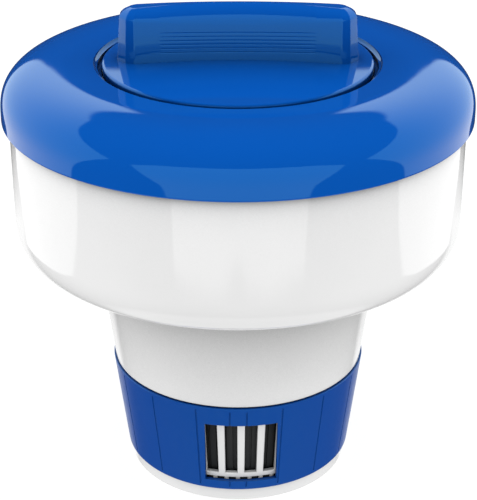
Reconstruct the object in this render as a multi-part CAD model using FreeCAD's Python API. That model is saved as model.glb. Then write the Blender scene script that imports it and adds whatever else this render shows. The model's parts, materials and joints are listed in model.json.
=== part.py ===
import FreeCAD, Part
import math
import os

# Floating chlorine dispenser. Millimetres, +Z up, origin at the centre of the flat base.
# The main axis is Z. The lid's bar handle runs along X, and the window faces -Y.

VEC = FreeCAD.Vector
AXIS = VEC(0, 0, 1)
ORIGIN = VEC(0, 0, 0)

# ---- driving dimensions -------------------------------------------------------------
WALL = 2.4                # moulded wall of the float, cover and lid
GAP = 0.4                 # play between a moving piece and its neighbour
EDGE = 0.5                # small rounding of moulded edges
FRONT_TURN = 1.5          # the window and its slots sit this many degrees towards +X

# heights
BODY_FOOT = 4.3
BASE_CAP_TOP = 6.1
RING_BOTTOM = 6.5
RING_LIP_TOP = 8.3
CHAMBER_BOTTOM = 8.7
CHAMBER_FLOOR = 11.2
TOOTH_TOP = 12.2
TOOTH_SHOULDER = 12.8
BEND_LOW = 13.0           # the chamber's inside widens between these two heights
BEND_HIGH = 14.4
RING_TOP = 52.3
SHOULDER = 52.7
CHAMBER_INSIDE_TOP = 53.6
NECK_INSIDE_LOW = 54.6
UNDERSIDE = 108.5
DRUM_CORNER_TOP = 125.2
PLUG_FOOT = 168.6
COVER_FOOT = 170.2
COVER_WIDEST = 174.0
SNAP_Z = 175.4            # the drum's snap bead and the cover's groove for it
DRUM_RIM = 178.0
CHANNEL_TOP = 180.0
LIP_LOW = 191.4
LID_EDGE_FOOT = 191.7
LIP_HIGH = 192.9
COVER_TOP = 193.45
LID_CENTRE = 195.0
HANDLE_TOP = 218.1

# radii
BASE_R = 50.8
RING_FOOT_R = 52.7        # outside of the control ring at its foot
RING_FOOT_Z = 9.1
RING_TOP_R = 58.2
RING_WALL = 2.2
CHAMBER_WALL = 2.2
SKIRT_R = 48.2
TOOTH_ROOT_R = 49.2
NECK_LOW_R = 57.3
NECK_TOP_R = 64.3
DRUM_R = 99.3
DRUM_CORNER_R = 84.1      # where the rounded lower corner starts
COVER_R = 102.5
COVER_EDGE = 1.0          # rounding of the cover's lower edge
COVER_FLAT_R = 73.0       # where the cover's dome flattens out
CORNER_POWER = 2.3        # superellipse powers of the drum's corner and the cover's dome
DOME_POWER = 2.65
DOME_INSIDE_POWER = 2.4
WELL_R = 60.5             # hole in the cover that the lid sits in
LIP_WIDTH = 1.6
LID_R = 58.5
LID_EDGE = 1.2
LID_DROP = 1.9            # how much lower the lid's dome is at its edge

# joint between the drum's rim and the cover
CHANNEL_OUT = DRUM_R + GAP
CHANNEL_IN = DRUM_R - WALL - GAP
PLUG_WALL = 2.2
SNAP_BUMP = 0.5
SNAP_HALF = 0.8
GROOVE_HALF = 1.2
SEAL_PLAY = 0.3
GASKET_INSET = 0.8
GASKET_LIFT = 0.1

# window and slots
GROUPS = 2                # one window in front, one behind
WINDOW_HALF = 16.1
WINDOW_LOW = 11.2
WINDOW_HIGH = 43.0
SLOTS = 4
SLOT_WIDTH = 5.8
SLOT_PITCH = 9.75         # degrees
SLOT_LOW = 14.4
SLOT_HIGH = 46.0
CUTTER_IN = 30.0          # window and slot cutters reach between these distances
CUTTER_OUT = 70.0
PANEL_LINES = (3.7, 18.75, 41.25, 63.75)   # degrees each side of a window
PANEL_LINE_LOW = 8.4
PANEL_LINE_HIGH = 50.4
PANEL_LINE_WIDTH = 0.8
PANEL_LINE_DEPTH = 0.35
TEETH = 60
TOOTH_R = 0.8
PAWLS = 2
PAWL_HALF = 0.9           # degrees
PAWL_TOP = 10.6
PAWL_PLAY = 0.25

# throat sleeve, lid skirt and bayonet
SLEEVE_IN = 54.8
SLEEVE_OUT = 57.2
SLEEVE_FOOT = 107.9
WELL_FLOOR = 2.2          # thickness of the ledge that carries the sleeve's flange
FLANGE_LOW = 185.5
FLANGE_TOP = 187.5
FLANGE_R = 58.4
SOCKET_R = 57.5
SOCKET_SEAT = 106.5
SOCKET_LOW = 104.0
SOCKET_TOP = 118.0
SKIRT_OUT = 52.5
SKIRT_IN = 50.3
SKIRT_FOOT = 176.5
LID_SEAT = 189.0
BAYONETS = 4
RAIL_LOW = 181.0
RAIL_HIGH = 183.5
RAIL_R = 52.95
RAIL_FROM = 17.0          # degrees from the middle of the gap that a lug drops through
RAIL_TO = 73.0
STOP_FROM = 60.5
STOP_TO = 63.5
STOP_LOW = 176.0
LUG_LOW = 177.6
LUG_HIGH = 180.6
LUG_R = 54.4
LUG_HALF = 12.0           # degrees
OVERLAP = 0.5             # how far a piece of a moulding is sunk into the next to join it

# handle
BAR_END_X = 52.1          # tip of the bar at its foot
BAR_END_R = 9.8
BAR_WAIST = 7.6           # half the thickness of the bar in its middle, at its foot
BAR_FOOT = 193.6
BAR_ROOT = 192.4          # the bar is sunk into the lid down to here
BAR_DRAFT = 0.088         # the long faces lean in by this much per millimetre of height
BAR_END_DRAFT = 0.075
BAR_CROWN = 500.0         # radius of the bar's slightly arched top
BAR_CROWN_HALF = 30.0
BAR_ROUND = 4.8
BAR_STEPS = 6
BAR_WALL = 2.3
HOLLOW_FOOT = 189.6
HOLLOW_ROUND = 2.0
GRIPS = 6
GRIP_LOW = 198.3
GRIP_PITCH = 1.68
GRIP_HALF = 32.7
GRIP_BOW_R = 400.0        # the lines follow the bar's hollow side
GRIP_R = 0.3

# base: ballast, screws
CAP_FLOOR = 3.0
BALLAST_IN = 20.0
BALLAST_OUT = 44.5
BALLAST_LOW = 3.1
BALLAST_TOP = 8.3
SCREWS = 4
SCREW_CIRCLE = 33.0
BOSS_R = 4.6
BOSS_FOOT = 3.2
SCREW_R = 1.75
SCREW_PLAY = 0.05
SCREW_CLEARANCE = 0.15
HEAD_CLEARANCE = 0.3
SCREW_HEAD_R = 3.3
SCREW_HEAD_LOW = 0.3
SCREW_SEAT = 1.8
SCREW_TIP = 10.3
RECESS_LENGTH = 4.0
RECESS_WIDTH = 0.9
RECESS_DEPTH = 1.0

# tablet basket
BASKET_GAP = 0.6
BASKET_WALL = 1.6
BASKET_FLOOR = 13.0
BASKET_TOP = 53.4
BASKET_SLITS = 84
BASKET_SLIT = 1.0
BASKET_SLIT_LOW = 15.2
BASKET_SLIT_HIGH = 49.2
BASKET_HOLE_R = 2.6
BASKET_HOLES = ((6, 12.0), (12, 23.0), (18, 34.0))   # how many on a circle, and its radius


# ---- sections of revolution ---------------------------------------------------------
def point(r, z):
    return VEC(r, 0, z)


def rounded(corners):
    """Edges of a closed section: (r, z) corners, or (r, z, radius) for a rounded one."""
    count = len(corners)
    stops = []
    for i, corner in enumerate(corners):
        here = point(corner[0], corner[1])
        radius = corner[2] if len(corner) > 2 else 0.0
        if radius == 0.0:
            stops.append((here, None, here))
            continue
        before = corners[i - 1]
        after = corners[(i + 1) % count]
        back = (point(before[0], before[1]) - here).normalize()
        ahead = (point(after[0], after[1]) - here).normalize()
        half = back.getAngle(ahead) / 2
        reach = radius / math.tan(half)
        bisector = (back + ahead).normalize()
        middle = here + bisector * (radius / math.sin(half) - radius)
        stops.append((here + back * reach, middle, here + ahead * reach))
    edges = []
    for i, (start, middle, end) in enumerate(stops):
        if middle is not None:
            edges.append(Part.Arc(start, middle, end).toShape())
        following = stops[(i + 1) % count][0]
        if (following - end).Length > 1e-6:
            edges.append(Part.makeLine(end, following))
    return edges


def spin(edges):
    """Solid of revolution about the main axis from a closed loop of edges."""
    face = Part.Face(Part.Wire(Part.__sortEdges__(edges)))
    solid = face.revolve(ORIGIN, AXIS, 360)
    return solid if solid.Volume > 0 else solid.reversed()


def ring(inner, outer, low, high):
    solid = Part.makeCylinder(outer, high - low, VEC(0, 0, low))
    if inner > 0:
        solid = solid.cut(Part.makeCylinder(inner, high - low, VEC(0, 0, low)))
    return solid


def sector(inner, outer, low, high, start, end):
    """Part of a ring between two angles, in degrees anticlockwise from +X."""
    corners = [point(inner, low), point(outer, low), point(outer, high), point(inner, high)]
    face = Part.Face(Part.makePolygon(corners + corners[:1]))
    face.rotate(ORIGIN, AXIS, start)
    return face.revolve(ORIGIN, AXIS, end - start)


def quarter_curve(centre_r, centre_z, reach_r, reach_z, power, steps=8):
    """Superellipse quarter from (centre_r + reach_r, centre_z) to (centre_r, centre_z + reach_z)."""
    points = []
    for i in range(steps + 1):
        angle = math.pi / 2 * i / steps
        across = math.cos(angle) ** (2 / power)
        up = math.sin(angle) ** (2 / power)
        points.append(point(centre_r + reach_r * across, centre_z + reach_z * up))
    points[0] = point(centre_r + reach_r, centre_z)
    points[-1] = point(centre_r, centre_z + reach_z)
    curve = Part.BSplineCurve()
    start_way = VEC(0, 0, math.copysign(1, reach_z))
    end_way = VEC(-1, 0, 0)
    curve.interpolate(Points=points, InitialTangent=start_way, FinalTangent=end_way)
    return curve.toShape()


def path(points):
    return [Part.makeLine(a, b) for a, b in zip(points, points[1:])]


def turned(shape, degrees):
    copy = shape.copy()
    copy.rotate(ORIGIN, AXIS, degrees)
    return copy


def ring_outer(z):
    """Outside radius of the control ring."""
    slope = (RING_TOP_R - RING_FOOT_R) / (RING_TOP - RING_FOOT_Z)
    return RING_FOOT_R + slope * (z - RING_FOOT_Z)


def chamber_outer(z):
    return ring_outer(z) - RING_WALL - GAP


def chamber_inner(z):
    return chamber_outer(z) - CHAMBER_WALL


def neck_outer(z):
    slope = (NECK_TOP_R - NECK_LOW_R) / (UNDERSIDE - SHOULDER)
    return NECK_LOW_R + slope * (z - SHOULDER)


def front_cutters(half_width, low, high, angle):
    """Boxes that cut a wall at an angle from the front, once for each window."""
    corner = VEC(-half_width, -CUTTER_OUT, low)
    box = Part.makeBox(2 * half_width, CUTTER_OUT - CUTTER_IN, high - low, corner)
    return [turned(box, FRONT_TURN + angle + 360 / GROUPS * i) for i in range(GROUPS)]


# ---- white float --------------------------------------------------------------------
def float_body():
    neck_in = neck_outer(SOCKET_LOW) - WALL
    outside = path([
        point(SKIRT_R, BODY_FOOT),
        point(SKIRT_R, CHAMBER_BOTTOM),
        point(TOOTH_ROOT_R, CHAMBER_BOTTOM),
        point(TOOTH_ROOT_R, TOOTH_TOP),
        point(chamber_outer(TOOTH_SHOULDER), TOOTH_SHOULDER),
        point(chamber_outer(SHOULDER), SHOULDER),
        point(NECK_LOW_R, SHOULDER),
        point(NECK_TOP_R, UNDERSIDE),
        point(DRUM_CORNER_R, UNDERSIDE),
    ])
    corner = quarter_curve(DRUM_CORNER_R, DRUM_CORNER_TOP, DRUM_R - DRUM_CORNER_R,
                           UNDERSIDE - DRUM_CORNER_TOP, CORNER_POWER)
    rim = path([
        point(DRUM_R, DRUM_CORNER_TOP),
        point(DRUM_R, SNAP_Z - SNAP_HALF),
        point(DRUM_R + SNAP_BUMP, SNAP_Z),
        point(DRUM_R, SNAP_Z + SNAP_HALF),
        point(DRUM_R, DRUM_RIM),
        point(DRUM_R - WALL, DRUM_RIM),
        point(DRUM_R - WALL, DRUM_CORNER_TOP),
    ])
    inner_corner = quarter_curve(DRUM_CORNER_R, DRUM_CORNER_TOP, DRUM_R - WALL - DRUM_CORNER_R,
                                 UNDERSIDE + WALL - DRUM_CORNER_TOP, CORNER_POWER)
    inside = path([
        point(DRUM_CORNER_R, UNDERSIDE + WALL),
        point(SOCKET_R + WALL, UNDERSIDE + WALL),
        point(SOCKET_R + WALL, SOCKET_TOP),
        point(SOCKET_R, SOCKET_TOP),
        point(SOCKET_R, SOCKET_SEAT),
        point(SLEEVE_IN, SOCKET_SEAT),
        point(SLEEVE_IN, SOCKET_LOW),
        point(neck_in, SOCKET_LOW),
        point(neck_outer(NECK_INSIDE_LOW) - WALL, NECK_INSIDE_LOW),
        point(chamber_inner(CHAMBER_INSIDE_TOP), CHAMBER_INSIDE_TOP),
        point(chamber_inner(BEND_HIGH), BEND_HIGH),
        point(TOOTH_ROOT_R - CHAMBER_WALL, BEND_LOW),
        point(TOOTH_ROOT_R - CHAMBER_WALL, CHAMBER_FLOOR),
        point(0, CHAMBER_FLOOR),
        point(0, CHAMBER_BOTTOM),
        point(SKIRT_R - CHAMBER_WALL, CHAMBER_BOTTOM),
        point(SKIRT_R - CHAMBER_WALL, BODY_FOOT),
        point(SKIRT_R, BODY_FOOT),
    ])
    body = spin(outside + [corner] + rim + [inner_corner] + inside)
    slots = []
    for i in range(SLOTS):
        angle = (i - (SLOTS - 1) / 2) * SLOT_PITCH
        slots += front_cutters(SLOT_WIDTH / 2, SLOT_LOW, SLOT_HIGH, angle)
    body = body.cut(slots)
    body = body.fuse(detent_teeth()).fuse(screw_bosses())
    return body.cut(screw_holes()).removeSplitter()


def detent_teeth():
    """Half-round teeth round the chamber's foot that the control ring clicks over."""
    height = TOOTH_TOP - CHAMBER_BOTTOM
    tooth = Part.makeCylinder(TOOTH_R, height, VEC(0, -TOOTH_ROOT_R, CHAMBER_BOTTOM))
    return [turned(tooth, 360 / TEETH * i) for i in range(TEETH)]


def screw_bosses():
    height = CHAMBER_BOTTOM - BOSS_FOOT + OVERLAP
    return [Part.makeCylinder(BOSS_R, height, place) for place in screw_places(BOSS_FOOT)]


def screw_holes():
    depth = SCREW_TIP + HEAD_CLEARANCE
    radius = SCREW_R + SCREW_PLAY
    return [Part.makeCylinder(radius, depth, place) for place in screw_places(0)]


def screw_places(z):
    places = []
    for i in range(SCREWS):
        angle = math.radians(45 + 360 / SCREWS * i)
        places.append(VEC(SCREW_CIRCLE * math.cos(angle), SCREW_CIRCLE * math.sin(angle), z))
    return places


# ---- blue cover and its seal --------------------------------------------------------
def top_cover():
    reach = COVER_R - COVER_FLAT_R
    rise = COVER_TOP - COVER_WIDEST
    inner_top = COVER_TOP - WALL
    plug_in = CHANNEL_IN - PLUG_WALL
    well_out = WELL_R + WALL
    edge_r = COVER_R - COVER_EDGE
    edge_z = COVER_FOOT + COVER_EDGE
    slant = COVER_EDGE * math.sqrt(0.5)
    foot = [
        Part.makeLine(point(CHANNEL_OUT, COVER_FOOT), point(edge_r, COVER_FOOT)),
        Part.Arc(point(edge_r, COVER_FOOT), point(edge_r + slant, edge_z - slant),
                 point(COVER_R, edge_z)).toShape(),
        Part.makeLine(point(COVER_R, edge_z), point(COVER_R, COVER_WIDEST)),
    ]
    dome = quarter_curve(COVER_FLAT_R, COVER_WIDEST, reach, rise, DOME_POWER)
    lip_outer = point(WELL_R + LIP_WIDTH, LIP_HIGH)
    lip_middle = point(WELL_R + 0.28 * LIP_WIDTH, LIP_HIGH - 0.3 * (LIP_HIGH - LIP_LOW))
    lip_inner = point(WELL_R, LIP_LOW)
    lip = [
        Part.makeLine(point(COVER_FLAT_R, COVER_TOP), lip_outer),
        Part.Arc(lip_outer, lip_middle, lip_inner).toShape(),
    ]
    well = path([
        lip_inner,
        point(WELL_R, FLANGE_TOP),
        point(FLANGE_R + GAP, FLANGE_TOP),
        point(FLANGE_R + GAP, FLANGE_LOW),
        point(SLEEVE_OUT + GAP, FLANGE_LOW),
        point(SLEEVE_OUT + GAP, FLANGE_LOW - WELL_FLOOR),
        point(well_out, FLANGE_LOW - WELL_FLOOR),
        point(well_out, LIP_HIGH - WALL),
        point(COVER_FLAT_R, inner_top),
    ])
    inner_dome = quarter_curve(COVER_FLAT_R, CHANNEL_TOP, plug_in - COVER_FLAT_R,
                               inner_top - CHANNEL_TOP, DOME_INSIDE_POWER)
    underside = path([
        point(plug_in, CHANNEL_TOP),
        point(plug_in, PLUG_FOOT),
        point(CHANNEL_IN, PLUG_FOOT),
        point(CHANNEL_IN, CHANNEL_TOP),
        point(CHANNEL_OUT, CHANNEL_TOP),
        point(CHANNEL_OUT, SNAP_Z + GROOVE_HALF),
        point(CHANNEL_OUT + SNAP_BUMP, SNAP_Z),
        point(CHANNEL_OUT, SNAP_Z - GROOVE_HALF),
        point(CHANNEL_OUT, COVER_FOOT),
    ])
    return spin(foot + [dome] + lip + well + [inner_dome] + underside)


def cover_seal():
    return spin(rounded([
        (CHANNEL_IN + SEAL_PLAY, DRUM_RIM),
        (CHANNEL_OUT - SEAL_PLAY, DRUM_RIM),
        (CHANNEL_OUT - SEAL_PLAY, CHANNEL_TOP, EDGE),
        (CHANNEL_IN + SEAL_PLAY, CHANNEL_TOP, EDGE),
    ]))


# ---- white throat sleeve and its seal -----------------------------------------------
def throat_sleeve():
    tube = spin(rounded([
        (SLEEVE_IN, SLEEVE_FOOT),
        (SLEEVE_OUT, SLEEVE_FOOT),
        (SLEEVE_OUT, FLANGE_LOW),
        (FLANGE_R, FLANGE_LOW),
        (FLANGE_R, FLANGE_TOP, EDGE),
        (SLEEVE_IN, FLANGE_TOP, EDGE),
    ]))
    rails = []
    for i in range(BAYONETS):
        middle = 360 / BAYONETS * i
        rails.append(sector(RAIL_R, SLEEVE_IN + OVERLAP, RAIL_LOW, RAIL_HIGH,
                            middle - RAIL_TO, middle - RAIL_FROM))
        rails.append(sector(RAIL_R, SLEEVE_IN + OVERLAP, STOP_LOW, RAIL_LOW + OVERLAP,
                            middle - STOP_TO, middle - STOP_FROM))
    return tube.fuse(rails).removeSplitter()


def throat_seal():
    return spin(rounded([
        (SLEEVE_IN + SEAL_PLAY, SOCKET_SEAT),
        (SOCKET_R - SEAL_PLAY, SOCKET_SEAT),
        (SOCKET_R - SEAL_PLAY, SLEEVE_FOOT),
        (SLEEVE_IN + SEAL_PLAY, SLEEVE_FOOT),
    ]))


# ---- blue lid -----------------------------------------------------------------------
def lid():
    dome_r = LID_R - LID_EDGE
    dome_foot = LID_CENTRE - LID_DROP
    edge_middle = point(LID_R - LID_EDGE / 4, dome_foot - 0.3 * (dome_foot - LID_EDGE_FOOT))
    top = Part.Arc(point(0, LID_CENTRE), point(dome_r / 2, LID_CENTRE - LID_DROP / 4),
                   point(dome_r, dome_foot)).toShape()
    edge = Part.Arc(point(dome_r, dome_foot), edge_middle,
                    point(LID_R, LID_EDGE_FOOT)).toShape()
    under = path([
        point(LID_R, LID_EDGE_FOOT),
        point(LID_R, LID_SEAT),
        point(SKIRT_OUT, LID_SEAT),
        point(SKIRT_OUT, SKIRT_FOOT),
        point(SKIRT_IN, SKIRT_FOOT),
        point(SKIRT_IN, LID_CENTRE - LID_DROP - WALL),
        point(0, LID_CENTRE - WALL),
        point(0, LID_CENTRE),
    ])
    cap = spin([top, edge] + under)
    lugs = []
    for i in range(BAYONETS):
        middle = 360 / BAYONETS * i
        lugs.append(sector(SKIRT_OUT - OVERLAP, LUG_R, LUG_LOW, LUG_HIGH,
                           middle - LUG_HALF, middle + LUG_HALF))
    cap = cap.fuse(lugs).fuse(bar(0.0, BAR_ROOT, HANDLE_TOP, BAR_ROUND))
    cap = cap.cut(bar(BAR_WALL, HOLLOW_FOOT, HANDLE_TOP - BAR_WALL, HOLLOW_ROUND))
    return cap.cut(grip_lines()).removeSplitter()


def bar_outline(inset, z):
    """Plan of the bar at a height: round ends joined by two slightly hollow long faces."""
    lean = inset + BAR_DRAFT * (z - BAR_FOOT)
    end_lean = inset + BAR_END_DRAFT * (z - BAR_FOOT)
    end_r = BAR_END_R - lean
    waist = BAR_WAIST - lean
    centre_x = BAR_END_X - end_lean - end_r
    hollow_r = (centre_x ** 2 + waist ** 2 - end_r ** 2) / (2 * (end_r - waist))
    hollow_y = hollow_r + waist
    meet = math.atan2(centre_x, hollow_y)
    half = []
    for i in range(BAR_STEPS):
        angle = meet * (2 * i / BAR_STEPS - 1)
        half.append(VEC(hollow_r * math.sin(angle), hollow_r * math.cos(angle) - hollow_y, z))
    for i in range(BAR_STEPS):
        angle = meet - math.pi / 2 + (math.pi - 2 * meet) * i / BAR_STEPS
        half.append(VEC(centre_x + end_r * math.cos(angle), end_r * math.sin(angle), z))
    curve = Part.BSplineCurve()
    curve.interpolate(Points=half + [VEC(-p.x, -p.y, z) for p in half], PeriodicFlag=True)
    return Part.Wire([curve.toShape()])


def bar(inset, low, high, rounding):
    """The handle's bar, or its hollow when inset, with an arched and rounded top."""
    loft = Part.makeLoft([bar_outline(inset, low), bar_outline(inset, high + WALL)], True, True)
    crown_start = VEC(0, -BAR_CROWN_HALF, high - BAR_CROWN)
    crown = Part.makeCylinder(BAR_CROWN, 2 * BAR_CROWN_HALF, crown_start, VEC(0, 1, 0))
    solid = loft.common(crown)
    top_edges = [edge for edge in solid.Edges if edge.BoundBox.ZMin > high - BAR_ROUND]
    return solid.makeFillet(rounding, top_edges)


def grip_lines():
    """Fine horizontal lines cut into both long faces of the bar."""
    cuts = []
    for i in range(GRIPS):
        z = GRIP_LOW + GRIP_PITCH * i
        waist = BAR_WAIST - BAR_DRAFT * (z - BAR_FOOT)
        for side in (-1, 1):
            sag = GRIP_HALF ** 2 / (2 * GRIP_BOW_R)
            start = VEC(-GRIP_HALF, side * (waist + sag), z)
            middle = VEC(0, side * waist, z)
            end = VEC(GRIP_HALF, side * (waist + sag), z)
            spine = Part.Wire([Part.Arc(start, middle, end).toShape()])
            ring_edge = Part.makeCircle(GRIP_R, start, spine.Edges[0].tangentAt(0))
            cuts.append(spine.makePipeShell([Part.Wire([ring_edge])], True, True))
    return cuts


def lid_gasket():
    return spin(rounded([
        (SLEEVE_IN + GASKET_INSET, FLANGE_TOP + GASKET_LIFT, EDGE),
        (LID_R - SEAL_PLAY, FLANGE_TOP + GASKET_LIFT, EDGE),
        (LID_R - SEAL_PLAY, LID_SEAT),
        (SLEEVE_IN + GASKET_INSET, LID_SEAT),
    ]))


# ---- blue control ring --------------------------------------------------------------
def control_ring():
    inner_foot = ring_outer(RING_FOOT_Z) - RING_WALL
    shell = spin(rounded([
        (RING_FOOT_R - EDGE / 2, RING_BOTTOM, EDGE),
        (RING_FOOT_R, RING_FOOT_Z),
        (RING_TOP_R, RING_TOP, EDGE),
        (RING_TOP_R - RING_WALL, RING_TOP, EDGE),
        (inner_foot, RING_FOOT_Z),
        (inner_foot, RING_LIP_TOP),
        (SKIRT_R + GAP, RING_LIP_TOP),
        (SKIRT_R + GAP, RING_BOTTOM),
    ]))
    shell = shell.cut(front_cutters(WINDOW_HALF, WINDOW_LOW, WINDOW_HIGH, 0))
    shell = shell.cut(panel_lines())
    return shell.fuse(detent_pawls()).removeSplitter()


def panel_lines():
    """Shallow upright lines that divide the ring's outside into panels."""
    radius = PANEL_LINE_WIDTH / 2
    inset = PANEL_LINE_DEPTH - radius
    low = point(ring_outer(PANEL_LINE_LOW) - inset, PANEL_LINE_LOW)
    high = point(ring_outer(PANEL_LINE_HIGH) - inset, PANEL_LINE_HIGH)
    way = high - low
    line = Part.makeCylinder(radius, way.Length, low, way)
    cuts = []
    for i in range(GROUPS):
        front = 360 / GROUPS * i - 90
        cuts.append(turned(line, front + 90))
        for angle in PANEL_LINES:
            cuts.append(turned(line, front - angle))
            cuts.append(turned(line, front + angle))
    return cuts


def detent_pawls():
    """Two low bumps inside the ring's foot that run just outside the chamber's teeth."""
    tip = TOOTH_ROOT_R + TOOTH_R + PAWL_PLAY
    inner_foot = ring_outer(RING_FOOT_Z) - RING_WALL
    pawls = []
    for i in range(PAWLS):
        middle = 360 / TEETH / 2 + 360 / PAWLS * i
        pawls.append(sector(tip, inner_foot + OVERLAP, RING_FOOT_Z, PAWL_TOP,
                            middle - PAWL_HALF, middle + PAWL_HALF))
    return pawls


# ---- tablet basket ------------------------------------------------------------------
def tablet_basket():
    outer_foot = TOOTH_ROOT_R - CHAMBER_WALL - BASKET_GAP
    outer_top = chamber_inner(BASKET_TOP) - BASKET_GAP
    outer_low = chamber_inner(BEND_HIGH) - BASKET_GAP
    shell = spin(path([
        point(0, CHAMBER_FLOOR),
        point(outer_foot, CHAMBER_FLOOR),
        point(outer_foot, BEND_LOW - GAP),
        point(outer_low, BEND_HIGH - GAP),
        point(outer_top, BASKET_TOP),
        point(outer_top - BASKET_WALL, BASKET_TOP),
        point(outer_low - BASKET_WALL, BEND_HIGH),
        point(outer_foot - BASKET_WALL, BASKET_FLOOR),
        point(0, BASKET_FLOOR),
        point(0, CHAMBER_FLOOR),
    ]))
    slit_corner = VEC(CUTTER_IN, -BASKET_SLIT / 2, BASKET_SLIT_LOW)
    slit_height = BASKET_SLIT_HIGH - BASKET_SLIT_LOW
    slit = Part.makeBox(CUTTER_OUT - CUTTER_IN, BASKET_SLIT, slit_height, slit_corner)
    cuts = [turned(slit, 360 / BASKET_SLITS * (i + 0.5)) for i in range(BASKET_SLITS)]
    for count, radius in BASKET_HOLES:
        hole = Part.makeCylinder(BASKET_HOLE_R, BASKET_FLOOR, VEC(radius, 0, 0))
        cuts += [turned(hole, 360 / count * i) for i in range(count)]
    return shell.cut(cuts)


# ---- base ---------------------------------------------------------------------------
def ballast_ring():
    plate = ring(BALLAST_IN, BALLAST_OUT, BALLAST_LOW, BALLAST_TOP)
    radius = BOSS_R + BASKET_GAP
    holes = [Part.makeCylinder(radius, BALLAST_TOP, place) for place in screw_places(0)]
    return plate.cut(holes)


def base_cap():
    cap = spin(rounded([
        (0, 0),
        (BASE_R, 0, EDGE),
        (BASE_R, BASE_CAP_TOP, EDGE),
        (SKIRT_R + GAP, BASE_CAP_TOP),
        (SKIRT_R + GAP, CAP_FLOOR),
        (0, CAP_FLOOR),
    ]))
    holes = []
    for place in screw_places(0):
        holes.append(Part.makeCylinder(SCREW_R + SCREW_CLEARANCE, CAP_FLOOR, place))
        holes.append(Part.makeCylinder(SCREW_HEAD_R + HEAD_CLEARANCE, SCREW_SEAT, place))
    return cap.cut(holes)


def base_seal():
    middle = SKIRT_R - CHAMBER_WALL / 2
    radius = (BODY_FOOT - CAP_FLOOR) / 2
    return Part.makeTorus(middle, radius, VEC(0, 0, CAP_FLOOR + radius))


def base_screws():
    """Pan-head screws with a cross recess, driven from below."""
    long_half = RECESS_LENGTH / 2
    wide_half = RECESS_WIDTH / 2
    screws = []
    for place in screw_places(SCREW_HEAD_LOW):
        head = Part.makeCylinder(SCREW_HEAD_R, SCREW_SEAT - SCREW_HEAD_LOW, place)
        shank = Part.makeCylinder(SCREW_R, SCREW_TIP - SCREW_HEAD_LOW, place)
        recess = [
            Part.makeBox(RECESS_LENGTH, RECESS_WIDTH, RECESS_DEPTH,
                         place - VEC(long_half, wide_half, 0)),
            Part.makeBox(RECESS_WIDTH, RECESS_LENGTH, RECESS_DEPTH,
                         place - VEC(wide_half, long_half, 0)),
        ]
        screws.append(head.fuse(shank).cut(recess).removeSplitter())
    return Part.makeCompound(screws)


NODES = {
    "float_body": float_body,
    "top_cover": top_cover,
    "cover_seal": cover_seal,
    "throat_sleeve": throat_sleeve,
    "throat_seal": throat_seal,
    "lid": lid,
    "lid_gasket": lid_gasket,
    "control_ring": control_ring,
    "tablet_basket": tablet_basket,
    "ballast_ring": ballast_ring,
    "base_cap": base_cap,
    "base_seal": base_seal,
    "base_screws": base_screws,
}

os.makedirs("parts", exist_ok=True)
for name, make in NODES.items():
    shape = make()
    if not shape.isValid():
        raise RuntimeError(name + " is not a valid shape")
    shape.exportStep("parts/" + name + ".step")
    box = shape.BoundBox
    print(name, len(shape.Solids), round(shape.Volume / 1000, 2), "cm3",
          round(box.ZMin, 2), round(box.ZMax, 2), round(box.XMax, 2))
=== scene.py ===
import json
import math

import bmesh
import bpy
from mathutils import Matrix, Vector


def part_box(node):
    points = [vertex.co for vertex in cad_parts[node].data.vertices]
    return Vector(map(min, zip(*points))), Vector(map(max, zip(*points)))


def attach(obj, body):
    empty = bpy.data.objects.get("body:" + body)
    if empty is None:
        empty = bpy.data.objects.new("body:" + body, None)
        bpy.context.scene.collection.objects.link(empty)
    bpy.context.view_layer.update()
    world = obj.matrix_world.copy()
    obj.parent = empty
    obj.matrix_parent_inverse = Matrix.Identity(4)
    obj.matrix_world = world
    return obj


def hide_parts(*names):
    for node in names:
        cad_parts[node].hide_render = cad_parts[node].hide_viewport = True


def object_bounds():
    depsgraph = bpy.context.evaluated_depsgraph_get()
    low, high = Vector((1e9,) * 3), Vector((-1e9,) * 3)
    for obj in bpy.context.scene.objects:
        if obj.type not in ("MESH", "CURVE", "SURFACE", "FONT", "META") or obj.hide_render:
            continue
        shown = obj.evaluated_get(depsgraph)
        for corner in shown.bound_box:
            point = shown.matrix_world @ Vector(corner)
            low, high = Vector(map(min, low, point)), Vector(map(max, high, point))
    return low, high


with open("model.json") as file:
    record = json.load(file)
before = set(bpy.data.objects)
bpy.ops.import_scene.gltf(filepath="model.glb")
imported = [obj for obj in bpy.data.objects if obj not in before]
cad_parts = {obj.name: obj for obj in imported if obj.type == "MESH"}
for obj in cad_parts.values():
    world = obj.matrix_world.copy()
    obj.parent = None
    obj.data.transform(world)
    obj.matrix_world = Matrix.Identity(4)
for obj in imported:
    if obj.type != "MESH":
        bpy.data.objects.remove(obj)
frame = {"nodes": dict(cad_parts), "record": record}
CAD_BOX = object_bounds()
NODES = frame["nodes"]
MM = 0.001


def extent(node):
    """Outer radius, lowest and highest height of a round node, in millimetres."""
    low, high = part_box(node)
    return (high.y - low.y) / 2 / MM, low.z / MM, high.z / MM


# ---- shapes, in millimetres and degrees -------------------------------------
COLUMNS = 288             # round a turned piece
PARALLEL_FROM = 52.9      # nearer the axis, a feature's columns run radially
SMOOTH_ANGLE = 32.0
MERGE = 0.02
SLACK = 0.01              # tolerance when two places are compared
EDGE = 0.5                # rounding of a moulded corner
HOLE_EDGE = 0.35          # rounding of the edges of the slots
WINDOW_EDGE = 0.2         # the same for the ring's windows
FRONT = -90.0
FRONT_TURN = 1.5          # the window and its slots sit this much towards +X
WALL = 2.4
GAP = 0.4

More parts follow.
